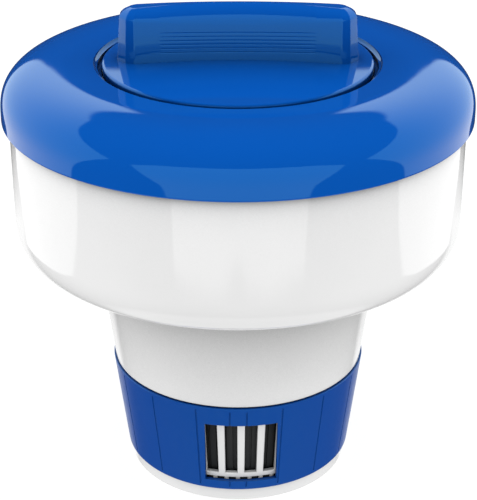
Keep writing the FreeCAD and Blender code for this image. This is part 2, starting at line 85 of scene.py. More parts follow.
RING_TOP_R, RING_LOW, RING_HIGH = extent("control_ring")
RING_FOOT_R = 52.7
RING_FOOT_Z = 9.1
RING_WALL = 2.2
RING_LIP_TOP = 8.3
RING_SOFT = 0.4           # rounding of the ring's own ends
SOFT_SHARES = (0.62, 0.3, 0.08)      # what is left of it at 22.5, 45 and 67.5 degrees
WINDOW_HALF = 16.1
WINDOW_LOW = 11.2
WINDOW_HIGH = 43.0
PANEL_LINES = (-63.75, -41.25, -18.75, 19.95, 41.25, 63.75, 90.0)    # from a window's middle
NEAR_LINES = 3.7          # two more, over and under a window
PANEL_LINE_LOW = 8.4
PANEL_LINE_HIGH = 50.4
PANEL_LINE_HALF = 0.4
PANEL_LINE_STEP = 0.25    # half the width of a line's steeper middle
PANEL_LINE_DEPTH = 0.35
PANEL_LINE_FLAT = 0.05    # its shoulders are this much flatter than round
PANEL_LINE_END = 0.15
PANEL_LINE_CLEAR = 0.1    # no other column stands nearer to a line than this

SLOTS = 4
SLOT_HALF = 2.9
SLOT_PITCH = 9.75
SLOT_LOW = 14.4
SLOT_HIGH = 46.0
SKIRT_R = 48.2
BODY_FOOT = 4.3
CHAMBER_LOW = 8.7
CHAMBER_FLOOR = 11.2
CHAMBER_WALL = 2.2
CHAMBER_BEND = 13.0
CHAMBER_TOP = 53.6
TOOTH_ROOT_R = 49.2
TOOTH_TOP = 11.75
TOOTH_SHOULDER = 12.15
TEETH = 60
TOOTH_HALF = 1.15
TOOTH_HEIGHT = 0.8
TOOTH_LIFT = 0.02         # the teeth's ring stands this proud of the wall
TOOTH_SINK = 0.6
SHOULDER = 52.7
NECK_LOW_R = 57.3
NECK_TOP_R = 64.3
NECK_IN_LOW = 54.6
UNDERSIDE = 108.5
DRUM_R = 99.3
DRUM_CORNER_R = 84.1
DRUM_CORNER_TOP = 125.2
CORNER_POWER = 2.3
DRUM_RIM = extent("float_body")[2]
SNAP_Z = 175.4
SNAP_HALF = 0.8
SNAP_REACH = 0.5
SOCKET_R = 57.5           # the sleeve's foot stands in this
SOCKET_LOW = 106.5
SOCKET_HIGH = 118.0
STOP_R = 54.8
STOP_LOW = 104.0

COVER_R, PLUG_FOOT, COVER_TOP = extent("top_cover")
COVER_FOOT = 170.2
COVER_WIDEST = 174.0
COVER_EDGE = 1.0
COVER_FLAT_R = 73.0
DOME_POWER = 2.65
DOME_IN_POWER = 2.4
CHANNEL_TOP = 180.0
CHANNEL_SNAP_HALF = 1.2
PLUG_WALL = 2.2
WELL_R = 60.5
WELL_FOOT = 183.3
LIP_WIDE = 1.6
LIP_HIGH = 192.9
LIP_LOW = 191.4
LIP_SAG = 0.35
LEDGE_TOP = 189.2
LEDGE_R = 58.8
LEDGE_FOOT = 185.5
SLEEVE_HOLE_R = 57.6

LID_R = 58.5
LID_CENTRE = 195.0
LID_DROP = 1.9
LID_EDGE = 1.2
LID_SEAT = 189.0
SKIRT_OUT = 52.5
SKIRT_IN = 50.3
LID_LOW, LID_HIGH = extent("lid")[1:]
LUGS = 4
LUG_LOW = 177.6
LUG_HIGH = 180.6
LUG_REACH = 1.9
LUG_HALF = 11.3
LUG_SIDE = 0.1            # how far a lug's upright sides lean
LUG_STEP = 0.05           # and its level ones
LID_STEPS = 20

BAR_END_X = 52.1
BAR_END_R = 9.8
BAR_WAIST = 7.6
BAR_FOOT = 193.6
BAR_ROOT = 192.4
BAR_DRAFT = 0.088
BAR_END_DRAFT = 0.075
BAR_CROWN = 500.0
BAR_ROUND = 4.8
BAR_TURNS = 8
BAR_FACE_DROP = 7.8       # the faces end this far under the highest point, and rise to the ends
BAR_FACE_BOW = 720.0
BAR_FACE_END = 0.6        # the last straight row stands this far under the faces' ends
BAR_WALL = 2.3
HOLLOW_ROOT = 190.0
HOLLOW_ROUND = 2.0
BAR_FACETS = (18.0, 54.7, 79.5)      # corners of the bar's faceted ends, from the X axis
BAR_FACET_EDGE = 1.3      # each corner is rounded over this much either side
GRIPS = 6
GRIP_LOW = 198.3
GRIP_PITCH = 1.68
GRIP_HALF = 32.7
GRIP_R = 0.3
GRIP_DEPTH = 0.1
GRIP_END = 0.3

BASKET_LOW, BASKET_HIGH = extent("tablet_basket")[1:]
BASKET_GAP = 0.6
BASKET_WALL = 1.6
BASKET_FLOOR = 13.0
BASKET_BEND_LOW = 12.6
BASKET_BEND_OUT = 14.0
BASKET_BEND_IN = 14.4
FLUTES = 84
FLUTE_LOW = 15.2
FLUTE_HIGH = 49.2
FLUTE_DEPTH = 0.5
FLUTE_HALF = 0.45
FLUTE_SIDE = 0.1
FLUTE_END = 0.3

BASE_R, BASE_LOW, BASE_HIGH = extent("base_cap")
BASE_FLOOR = 3.0
SCREWS = 4
SCREW_CIRCLE = 33.0
HEAD_R = 3.6
HEAD_SEAT = 1.8
SHANK_R = 1.9
BOSS_R = 4.6
BOSS_FOOT = 3.2
BOSS_EDGE = 0.3
BOSS_HOLE_R = 1.8
SMALL_COLUMNS = 24        # round a boss or a screw hole


def ring_outer(z):
    return RING_FOOT_R + (RING_TOP_R - RING_FOOT_R) * (z - RING_FOOT_Z) / (RING_HIGH - RING_FOOT_Z)


def chamber_outer(z):
    return ring_outer(z) - RING_WALL - GAP


def chamber_inner(z):
    return chamber_outer(z) - CHAMBER_WALL


def neck_outer(z):
    return NECK_LOW_R + (NECK_TOP_R - NECK_LOW_R) * (z - SHOULDER) / (UNDERSIDE - SHOULDER)


# ---- sections ---------------------------------------------------------------
def rounded(corners, steps=4):
    """A closed section of (r, z) corners; a corner with a third number is rounded by that much."""
    points = []
    for i, corner in enumerate(corners):
        here = Vector(corner[:2])
        if len(corner) < 3:
            points.append((*here, 0))
            continue
        before = (Vector(corners[i - 1][:2]) - here).normalized()
        after = (Vector(corners[(i + 1) % len(corners)][:2]) - here).normalized()
        half = before.angle(after) / 2
        radius = corner[2]
        centre = here + (before + after).normalized() * (radius / math.sin(half))
        start = here + before * (radius / math.tan(half)) - centre
        end = here + after * (radius / math.tan(half)) - centre
        turn = start.angle_signed(end)
        for step in range(steps + 1):
            spoke = Matrix.Rotation(-turn * step / steps, 2) @ start
            points.append((*(centre + spoke), 0))
    return points


def quarter(centre_r, centre_z, reach_r, reach_z, power, steps=28):
    """Superellipse quarter from (centre_r + reach_r, centre_z) to (centre_r, centre_z + reach_z)."""
    points = []
    for step in range(steps + 1):
        angle = math.pi / 2 * step / steps
        across = max(math.cos(angle), 0.0) ** (2 / power)
        up = math.sin(angle) ** (2 / power)
        points.append((centre_r + reach_r * across, centre_z + reach_z * up, 0))
    return points


def bow(start, end, bulge, steps=8):
    """Shallow curve between two section points that stands out sideways by bulge in its middle."""
    start, end = Vector(start), Vector(end)
    along = end - start
    out = Vector((along.y, -along.x)).normalized()
    points = []
    for step in range(steps + 1):
        part = step / steps
        points.append((*(start + along * part + out * bulge * 4 * part * (1 - part)), 0))
    return points


# ---- turned meshes ----------------------------------------------------------
def round_columns(features=()):
    """Columns round the axis as (degrees, sideways, push, hole).

    A feature is (degrees, [(sideways, push), ...], hole) and stands across its own direction, so
    that the sides of a slot stay parallel. Plain columns fill the arcs between features.
    """
    if not features:
        return [(360 / COLUMNS * i, 0, 0, False) for i in range(COLUMNS)]
    ordered = sorted(features, key=lambda feature: feature[0] % 360)
    made = []
    for i, (degrees, steps, hole) in enumerate(ordered):
        following = ordered[(i + 1) % len(ordered)]
        gap = (following[0] - degrees) % 360 or 360
        made += [(degrees, side, push, hole) for side, push in steps[:-1]]
        made.append((degrees, *steps[-1], False))
        start = math.degrees(math.asin(steps[-1][0] / PARALLEL_FROM))
        end = gap + math.degrees(math.asin(following[1][0][0] / PARALLEL_FROM))
        count = max(1, round((end - start) / 360 * COLUMNS))
        made += [(degrees + start + (end - start) * k / count, 0, 0, False) for k in range(1, count)]
    return made


def turned(name, loop, columns=None, window=None):
    """Mesh of a closed loop of (r, z, moves) turned about the axis, with walled holes.

    A point whose third number is 1 takes the column's push. The window's two heights each occur
    once outside and once inside in the loop, and columns marked as a hole are open between them.
    """
    columns = columns or round_columns()
    mesh = bmesh.new()
    weight = mesh.edges.layers.float.new("bevel_weight_edge")
    poles = {i: mesh.verts.new((0, 0, z * MM)) for i, (r, z, moves) in enumerate(loop) if r < 1e-6}
    grid = []
    holes = []
    for degrees, side, push, hole in columns:
        holes.append(hole)
        column = []
        for i, (r, z, moves) in enumerate(loop):
            if i in poles:
                column.append(poles[i])
                continue
            reach = r + push * moves
            angle = math.radians(degrees) + math.asin(side / max(reach, PARALLEL_FROM))
            place = (reach * math.cos(angle) * MM, reach * math.sin(angle) * MM, z * MM)
            column.append(mesh.verts.new(place))
        grid.append(column)
    marks = [i for i, point in enumerate(loop) if window and point[1] in window]
    open_edges = (marks[0], marks[2]) if marks else ()

    def face(*corners):
        distinct = list(dict.fromkeys(corners))
        return mesh.faces.new(distinct) if len(distinct) > 2 else None

    for c, column in enumerate(grid):
        following = grid[(c + 1) % len(grid)]
        for i in range(len(loop)):
            if holes[c] and i in open_edges:
                continue
            j = (i + 1) % len(loop)
            face(column[i], following[i], following[j], column[j])
        if marks:
            a, b, d, e = marks
            if holes[c]:
                face(column[a], following[a], following[e], column[e])
                face(column[b], column[d], following[d], following[b])
            if holes[c] != holes[c - 1]:
                face(column[a], column[b], column[d], column[e])
            for near in marks if holes[c] else ():
                mesh.edges.get((column[near], following[near]))[weight] = 1.0
            if holes[c] != holes[c - 1]:
                for pair in ((a, b), (d, e)):
                    mesh.edges.get((column[pair[0]], column[pair[1]]))[weight] = 1.0
    bmesh.ops.recalc_face_normals(mesh, faces=mesh.faces)
    return as_object(name, mesh)


def as_object(name, mesh):
    data = bpy.data.meshes.new(name)
    mesh.to_mesh(data)
    mesh.free()
    made = bpy.data.objects.new(name, data)
    bpy.context.scene.collection.objects.link(made)
    return made


def boolean(target, operation, tools):
    """Join or cut closed meshes into one, and throw the tools away."""
    for tool in tools:
        step = target.modifiers.new("boolean", "BOOLEAN")
        step.operation = operation
        step.solver = "EXACT"
        step.object = tool
        bpy.context.view_layer.update()
        finished = target.evaluated_get(bpy.context.evaluated_depsgraph_get())
        result = bpy.data.meshes.new_from_object(finished)
        target.modifiers.remove(step)
        target.data = result
        bpy.data.objects.remove(tool)
    mesh = bmesh.new()
    mesh.from_mesh(target.data)
    bmesh.ops.remove_doubles(mesh, verts=mesh.verts, dist=MERGE * MM)
    bmesh.ops.dissolve_degenerate(mesh, edges=mesh.edges, dist=MERGE * MM)
    mesh.to_mesh(target.data)
    mesh.free()


def finish_piece(piece, body, nodes, slot, bevel=0.0):
    """Smooth shading with crisp edges, and the piece's body, nodes, slot and material."""
    piece.data.name = piece.name
    if bevel:
        edge = piece.modifiers.new("edges", "BEVEL")
        edge.limit_method = "WEIGHT"
        edge.width = bevel * MM
        edge.segments = 3
        edge.use_clamp_overlap = False
    piece.data.shade_smooth()
    piece.data.set_sharp_from_angle(angle=math.radians(SMOOTH_ANGLE))
    weighted = piece.modifiers.new("normals", "WEIGHTED_NORMAL")
    weighted.keep_sharp = True
    piece.data.materials.clear()
    piece.data.materials.append(MATERIALS[slot])
    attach(piece, body)
    if nodes:
        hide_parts(*nodes)


def windows():
    """Directions of the two windows and of the slots behind them."""
    return [FRONT + FRONT_TURN, FRONT + FRONT_TURN + 180]


def spread(half, count):
    """Even steps from -half to half."""
    return [half * (2 * i / count - 1) for i in range(count + 1)]


def plain_loop(points):
    """A section in which the points that say nothing else stay where they are."""
    return [(*point[:2], point[2] if len(point) > 2 else 0) for point in points]


# ---- pieces -----------------------------------------------------------------
def float_section():
    """Section of the drum, the neck and the chamber, from the skirt's foot up and back inside."""
    outside = [
        (SKIRT_R, BODY_FOOT),
        (SKIRT_R, CHAMBER_LOW),
        (TOOTH_ROOT_R, CHAMBER_LOW),
        (TOOTH_ROOT_R, TOOTH_TOP),
        (chamber_outer(TOOTH_SHOULDER), TOOTH_SHOULDER),
        (chamber_outer(SLOT_LOW), SLOT_LOW),
        (chamber_outer(SLOT_HIGH), SLOT_HIGH),
        (chamber_outer(SHOULDER), SHOULDER),
    ]
    neck = [
        (NECK_LOW_R - EDGE, SHOULDER),
        (NECK_LOW_R - EDGE / 3, SHOULDER + EDGE / 3),
        (neck_outer(SHOULDER + EDGE), SHOULDER + EDGE),
        (NECK_TOP_R, UNDERSIDE),
    ]
    rim = [
        (DRUM_R, SNAP_Z - SNAP_HALF),
        (DRUM_R + SNAP_REACH, SNAP_Z),
        (DRUM_R, SNAP_Z + SNAP_HALF),
        (DRUM_R, DRUM_RIM),
        (DRUM_R - WALL, DRUM_RIM),
    ]
    inside = [
        (SOCKET_R + WALL, UNDERSIDE + WALL),
        (SOCKET_R + WALL, SOCKET_HIGH),
        (SOCKET_R, SOCKET_HIGH),
        (SOCKET_R, SOCKET_LOW),
        (STOP_R, SOCKET_LOW),
        (STOP_R, STOP_LOW),
        (neck_outer(STOP_LOW) - WALL, STOP_LOW),
        (neck_outer(NECK_IN_LOW) - WALL, NECK_IN_LOW),
        (chamber_inner(CHAMBER_TOP), CHAMBER_TOP),
        (chamber_inner(SLOT_HIGH), SLOT_HIGH),
        (chamber_inner(SLOT_LOW), SLOT_LOW),
        (TOOTH_ROOT_R - CHAMBER_WALL, CHAMBER_BEND),
        (TOOTH_ROOT_R - CHAMBER_WALL, CHAMBER_FLOOR),
        (0, CHAMBER_FLOOR),
        (0, CHAMBER_LOW),
        (SKIRT_R - CHAMBER_WALL, CHAMBER_LOW),
        (SKIRT_R - CHAMBER_WALL, BODY_FOOT),
    ]
    drop = UNDERSIDE - DRUM_CORNER_TOP
    corner = quarter(DRUM_CORNER_R, DRUM_CORNER_TOP, DRUM_R - DRUM_CORNER_R, drop, CORNER_POWER)
    corner_in = quarter(DRUM_CORNER_R, DRUM_CORNER_TOP, DRUM_R - WALL - DRUM_CORNER_R, drop + WALL,
                        CORNER_POWER)
    return plain_loop(outside + neck + corner[::-1] + rim + corner_in + inside)


def float_body():
    """Drum, neck and slotted chamber in one, with its detent teeth and screw bosses."""
    features = []
    for middle in windows():
        for i in range(SLOTS):
            degrees = middle + (i - (SLOTS - 1) / 2) * SLOT_PITCH
            features.append((degrees, [(side, 0) for side in spread(SLOT_HALF, 4)], True))
    columns = round_columns(features)
    body = turned("float_drum", float_section(), columns, (SLOT_LOW, SLOT_HIGH))
    finish_piece(body, "float", ["float_body"], "white_plastic", bevel=HOLE_EDGE)
    finish_piece(detent_teeth(), "float", [], "white_plastic")
    for i in range(SCREWS):
        finish_piece(screw_boss(i), "float", [], "white_plastic")


def detent_teeth():
    """Rounded teeth round the foot of the chamber, which the ring clicks over."""
    turns = [math.radians(30 * step) for step in range(-3, 4)]
    steps = [(TOOTH_HALF * math.sin(a), TOOTH_HEIGHT * max(math.cos(a), 0.0)) for a in turns]
    features = [(FRONT + 360 / TEETH * i, steps, False) for i in range(TEETH)]
    root = TOOTH_ROOT_R + TOOTH_LIFT
    loop = [
        (root - TOOTH_SINK, CHAMBER_LOW, 0),
        (root, CHAMBER_LOW, 1),
        (root, TOOTH_SHOULDER, 1),
        (root - TOOTH_SINK, TOOTH_SHOULDER, 0),
    ]
    return turned("float_teeth", loop, round_columns(features))


def small_columns():
    return [(360 / SMALL_COLUMNS * k, 0, 0, False) for k in range(SMALL_COLUMNS)]


def screw_shift(index):
    """From the axis to the middle of a base screw."""
    angle = math.radians(45 + 360 / SCREWS * index)
    return Matrix.Translation(Vector((math.cos(angle), math.sin(angle), 0)) * SCREW_CIRCLE * MM)


def screw_boss(index):
    """Round boss under the chamber's floor that a base screw runs into."""
    top = CHAMBER_LOW + BOSS_EDGE
    loop = rounded([
        (BOSS_HOLE_R, BOSS_FOOT),
        (BOSS_R, BOSS_FOOT, BOSS_EDGE),
        (BOSS_R, top),
        (BOSS_HOLE_R, top),
    ])
    made = turned("screw_boss_" + str(index + 1), loop, small_columns())
    made.data.transform(screw_shift(index))
    return made


def tablet_basket():
    """Thin cup behind the slots, with an upright groove where each of its fine slits is."""
    foot = TOOTH_ROOT_R - CHAMBER_WALL - BASKET_GAP

    def out(z, moves=0):
        return (chamber_inner(z) - BASKET_GAP, z, moves)

    def within(z):
        return (chamber_inner(z) - BASKET_GAP - BASKET_WALL, z, 0)

    loop = [
        (0, BASKET_LOW, 0),
        (foot, BASKET_LOW, 0),
        (foot, BASKET_BEND_LOW, 0),
        out(BASKET_BEND_OUT),
        out(FLUTE_LOW),
        out(FLUTE_LOW + FLUTE_END, 1),
        out(FLUTE_HIGH - FLUTE_END, 1),
        out(FLUTE_HIGH),
        out(BASKET_HIGH),
        within(BASKET_HIGH),
        within(BASKET_BEND_IN),
        (foot - BASKET_WALL, BASKET_FLOOR, 0),
        (0, BASKET_FLOOR, 0),
    ]
    far = FLUTE_HALF + FLUTE_SIDE
    flute = [(-far, 0), (-FLUTE_HALF, -FLUTE_DEPTH), (FLUTE_HALF, -FLUTE_DEPTH), (far, 0)]
    features = [(360 / FLUTES * (i + 0.5), flute, False) for i in range(FLUTES)]
    basket = turned("fine_basket", loop, round_columns(features))
    finish_piece(basket, "float", ["tablet_basket"], "black_plastic")


def ring_ends():
    """Rounded foot and rounded top of the ring's wall, in section."""
    low, high, soft = RING_LOW, RING_HIGH, RING_SOFT
    far, half, near = [soft * share for share in SOFT_SHARES]
    inner_top_r = RING_TOP_R - RING_WALL
    foot = [
        (ring_outer(low) - soft, low, 0),
        (ring_outer(low) - far, low + near, 0),
        (ring_outer(low + half) - half, low + half, 0),
        (ring_outer(low + far) - near, low + far, 0),
        (ring_outer(low + soft), low + soft, 0),
    ]
    top = [
        (ring_outer(high - soft), high - soft, 0),
        (ring_outer(high - far) - near, high - far, 0),
        (RING_TOP_R - half, high - half, 0),
        (RING_TOP_R - far, high - near, 0),
        (RING_TOP_R - soft, high, 0),
        (inner_top_r + soft, high, 0),
        (inner_top_r + half, high - half, 0),
        (ring_outer(high - soft) - RING_WALL, high - soft, 0),
    ]
    return foot, top


def panel_line():
    """Steps across a shallow upright line in the ring's face."""
    shoulder = math.sqrt(PANEL_LINE_HALF ** 2 - PANEL_LINE_STEP ** 2) - PANEL_LINE_FLAT
    return [
        (-PANEL_LINE_HALF, 0),
        (-PANEL_LINE_STEP, -shoulder),
        (0, -PANEL_LINE_DEPTH),
        (PANEL_LINE_STEP, -shoulder),
        (PANEL_LINE_HALF, 0),
    ]


def window_steps():
    """Steps across a window, with the near panel lines that stand over and under it."""
    shift = math.sin(math.radians(FRONT_TURN)) * RING_FOOT_R
    across = [(side, 0) for side in spread(WINDOW_HALF, 10)]
    clear = PANEL_LINE_HALF + PANEL_LINE_CLEAR
    for degrees in (-NEAR_LINES, NEAR_LINES):
        place = math.sin(math.radians(degrees)) * RING_TOP_R - shift
        across = [step for step in across if abs(step[0] - place) > clear]
        across += [(place + side, push) for side, push in panel_line()]
    return sorted(across)


def control_ring():
    """Tapered ring with a window at the front and the back, and shallow upright lines."""
    def out(z, moves=0):
        return (ring_outer(z), z, moves)

    def within(z):
        return (ring_outer(z) - RING_WALL, z, 0)

    face = [
        out(PANEL_LINE_LOW - PANEL_LINE_END),
        out(PANEL_LINE_LOW, 1),
        out(WINDOW_LOW, 1),
        out(WINDOW_HIGH, 1),
        out(PANEL_LINE_HIGH, 1),
        out(PANEL_LINE_HIGH + PANEL_LINE_END),
    ]
    inside = [
        within(WINDOW_HIGH),
        within(WINDOW_LOW),
        within(RING_FOOT_Z),
        (within(RING_FOOT_Z)[0], RING_LIP_TOP, 0),
        (SKIRT_R + GAP, RING_LIP_TOP, 0),
        (SKIRT_R + GAP, RING_LOW, 0),
    ]
    foot, top = ring_ends()
    features = []
    for middle in windows():
        features.append((middle, window_steps(), True))
        features += [(middle - FRONT_TURN + angle, panel_line(), False) for angle in PANEL_LINES]
    loop = foot + face + top + inside
    ring = turned("flow_ring", loop, round_columns(features), (WINDOW_LOW, WINDOW_HIGH))
    finish_piece(ring, "ring", ["control_ring"], "ring_plastic", bevel=WINDOW_EDGE)


def top_cover():
    """Dome with the well for the lid, and the channel in its edge that the drum's rim snaps into."""
    channel_out = DRUM_R + GAP
    channel_in = DRUM_R - WALL - GAP
    plug_in = channel_in - PLUG_WALL
    dome = quarter(COVER_FLAT_R, COVER_WIDEST, COVER_R - COVER_FLAT_R, COVER_TOP - COVER_WIDEST,
                   DOME_POWER, steps=40)
    dome_in = quarter(COVER_FLAT_R, CHANNEL_TOP, plug_in - COVER_FLAT_R, COVER_TOP - WALL - CHANNEL_TOP,
                      DOME_IN_POWER, steps=16)
    well = [
        (WELL_R, LEDGE_TOP),
        (LEDGE_R, LEDGE_TOP),
        (LEDGE_R, LEDGE_FOOT),
        (SLEEVE_HOLE_R, LEDGE_FOOT),
        (SLEEVE_HOLE_R, WELL_FOOT),
        (WELL_R + WALL, WELL_FOOT),
        (WELL_R + WALL, LIP_HIGH - WALL),
    ]
    channel = [
        (plug_in, PLUG_FOOT),
        (channel_in, PLUG_FOOT),
        (channel_in, CHANNEL_TOP),
        (channel_out, CHANNEL_TOP),
        (channel_out, SNAP_Z + CHANNEL_SNAP_HALF),
        (channel_out + SNAP_REACH, SNAP_Z),
        (channel_out, SNAP_Z - CHANNEL_SNAP_HALF),
    ]
    foot = [(channel_out, COVER_FOOT)]
    for step in range(7):
        angle = math.radians(15 * step)
        foot.append((COVER_R - COVER_EDGE * (1 - math.sin(angle)),
                     COVER_FOOT + COVER_EDGE * (1 - math.cos(angle))))
    lip = bow((WELL_R + LIP_WIDE, LIP_HIGH), (WELL_R, LIP_LOW), -LIP_SAG)
    cover = turned("drum_cover", plain_loop(foot + dome + lip + well + dome_in[::-1] + channel))
    finish_piece(cover, "float", ["top_cover"], "blue_plastic")


def crown(x):
    """Height of the bar's arched top."""
    return LID_HIGH - x * x / (2 * BAR_CROWN)


def facet_point(angle, spokes, centre_x, radius):
    """Point at an angle on the polygon that has its corners at the spokes of a circle."""
    low = max(spoke for spoke in spokes[:-1] if spoke <= angle + 1e-9)
    high = spokes[spokes.index(low) + 1]
    reach = radius * math.cos((high - low) / 2) / math.cos(angle - (high + low) / 2)
    return (centre_x + reach * math.cos(angle), reach * math.sin(angle))


def bar_side(inset, z, x_stops):
    """Half the bar's outline at a height, from its right tip to its left one, with y >= 0."""
    lean = inset + BAR_DRAFT * (z - BAR_FOOT)
    end_r = BAR_END_R - lean
    waist = BAR_WAIST - lean
    centre_x = BAR_END_X - inset - BAR_END_DRAFT * (z - BAR_FOOT) - end_r
    hollow_r = (centre_x ** 2 + waist ** 2 - end_r ** 2) / (2 * (end_r - waist))
    hollow_y = hollow_r + waist
    meet = math.atan2(centre_x, hollow_y)
    angles = [0.0]
    for corner in BAR_FACETS:
        angles += [math.radians(corner - BAR_FACET_EDGE), math.radians(corner + BAR_FACET_EDGE)]
    angles.append(math.pi / 2 - meet)
    spokes = [math.radians(corner) for corner in (-BAR_FACETS[0], *BAR_FACETS)]
    spokes.append(math.pi / 2 - meet)
    tip = [facet_point(angle, spokes, centre_x, end_r) for angle in angles]
    last = tip[-1][0]
    middle = [(x, hollow_y - math.sqrt(hollow_r ** 2 - x * x)) for x in x_stops if abs(x) < last]
    return tip + middle + [(-x, y) for x, y in reversed(tip)]


def bar_levels(root, face_end, grips):
    """Heights of the rows up the bar's straight faces, close together round each grip line."""
    levels = [root]
    for i in range(GRIPS if grips else 0):
        middle = GRIP_LOW + GRIP_PITCH * i
        levels += [middle + GRIP_R * math.sin(math.radians(a)) for a in (-90, -45, 0, 45, 90)]
    return levels + [face_end - BAR_FACE_END]


def groove(x, z):
    """Depth of the grip lines at a place on the bar's face."""
    if abs(x) > GRIP_HALF + SLACK:
        return 0.0
    line = min(max(round((z - GRIP_LOW) / GRIP_PITCH), 0), GRIPS - 1)
    away = min(abs(z - GRIP_LOW - GRIP_PITCH * line) / GRIP_R, 1.0)
    return GRIP_DEPTH * (1 + math.cos(math.pi * away)) / 2


def bar_rows(inset, root, top_drop, rounding, grips):
    """Rows of points over half the bar, from its root up its faces and over its arched top."""
    past_grip = GRIP_HALF + GRIP_END
    x_stops = [past_grip] + [GRIP_HALF * (1 - i / 10) for i in range(21)] + [-past_grip]

    def face_top(x):
        return LID_HIGH - BAR_FACE_DROP - top_drop + x * x / (2 * BAR_FACE_BOW)

    rows = []
    for z in bar_levels(root, face_top(0), grips):
        side = bar_side(inset, z, x_stops)
        rows.append([(x, y - groove(x, z) if grips else y, z) for x, y in side])
    for i in range(BAR_TURNS + 1):
        angle = math.radians(90 * i / BAR_TURNS)
        pull = rounding * (1 - math.cos(angle))
        side = bar_side(inset + pull, face_top(0) + BAR_FACE_DROP * math.sin(angle), x_stops)
        rows.append([(x, y, face_top(x) + (crown(x) - top_drop - face_top(x)) * math.sin(angle))
                     for x, y in side])
    return rows


def bar(name, rows):
    """The rows and their mirror image as one closed mesh."""
    mesh = bmesh.new()
    grid = []
    for row in rows:
        near = [mesh.verts.new((x * MM, y * MM, z * MM)) for x, y, z in row]
        far = [mesh.verts.new((x * MM, -y * MM, z * MM)) for x, y, z in row[1:-1]]
        grid.append((near, [near[0]] + far + [near[-1]]))
    count = len(rows[0])
    for (near, far), (near_up, far_up) in zip(grid, grid[1:]):
        for i in range(count - 1):
            mesh.faces.new((near[i], near[i + 1], near_up[i + 1], near_up[i]))
            mesh.faces.new((far[i], far_up[i], far_up[i + 1], far[i + 1]))
    # The bar's tips are flat, so the outermost faces of its foot and top take five corners.
    for near, far in (grid[0], grid[-1]):
        mesh.faces.new((near[0], near[1], near[2], far[2], far[1]))
        mesh.faces.new((near[-1], near[-2], near[-3], far[-3], far[-2]))
        for i in range(2, count - 3):
            mesh.faces.new((near[i], near[i + 1], far[i + 1], far[i]))
    bmesh.ops.recalc_face_normals(mesh, faces=mesh.faces)
    return as_object(name, mesh)


def lid():
    """Lid with its skirt and four lugs, and the hollow handle joined to it."""
    dome_r = LID_R - LID_EDGE
    foot = LID_CENTRE - LID_DROP
    edge = quarter(dome_r, foot - LID_EDGE, LID_EDGE, LID_EDGE, power=2.0, steps=8)[:-1]
    top = []
    for step in range(LID_STEPS + 1):
        out = 1 - step / LID_STEPS
        top.append((dome_r * out, LID_CENTRE - LID_DROP * out ** 2))
    under = [
        (0, LID_CENTRE - WALL),
        (SKIRT_IN, foot - WALL),
        (SKIRT_IN, LID_LOW),
        (SKIRT_OUT, LID_LOW),
        (SKIRT_OUT, LUG_LOW - LUG_STEP),
        (SKIRT_OUT, LUG_LOW, 1),
        (SKIRT_OUT, LUG_HIGH, 1),
        (SKIRT_OUT, LUG_HIGH + LUG_STEP),
        (SKIRT_OUT, LID_SEAT),
        (LID_R, LID_SEAT),
    ]
    far = LUG_HALF + LUG_SIDE
    lug = [(-far, 0)] + [(side, LUG_REACH) for side in spread(LUG_HALF, 8)] + [(far, 0)]
    features = [(360 / LUGS * i, lug, False) for i in range(LUGS)]
    cap = turned("bayonet_lid", plain_loop(edge + top + under), round_columns(features))
    handle = bar("handle", bar_rows(0.0, BAR_ROOT, 0.0, BAR_ROUND, True))
    hollow = bar("hollow", bar_rows(BAR_WALL, HOLLOW_ROOT, BAR_WALL, HOLLOW_ROUND, False))
    boolean(cap, "UNION", [handle])
    boolean(cap, "DIFFERENCE", [hollow])
    finish_piece(cap, "lid", ["lid"], "blue_plastic")


def base_cap():
    """Flat base with its rim, and the holes for the four screws."""
    cap = turned("base_foot", rounded([
        (0, BASE_LOW),
        (BASE_R, BASE_LOW, EDGE),
        (BASE_R, BASE_HIGH, EDGE),
        (SKIRT_R + GAP, BASE_HIGH),
        (SKIRT_R + GAP, BASE_FLOOR),
        (0, BASE_FLOOR),
    ]))
    hole = plain_loop([
        (0, BASE_LOW - 1),
        (HEAD_R, BASE_LOW - 1),
        (HEAD_R, HEAD_SEAT),
        (SHANK_R, HEAD_SEAT),
        (SHANK_R, BASE_FLOOR + 1),
        (0, BASE_FLOOR + 1),
    ])
    tools = []
    for i in range(SCREWS):
        tool = turned("tool", hole, small_columns())
        tool.data.transform(screw_shift(i))
        tools.append(tool)
    boolean(cap, "DIFFERENCE", tools)
    finish_piece(cap, "float", ["base_cap"], "white_plastic")


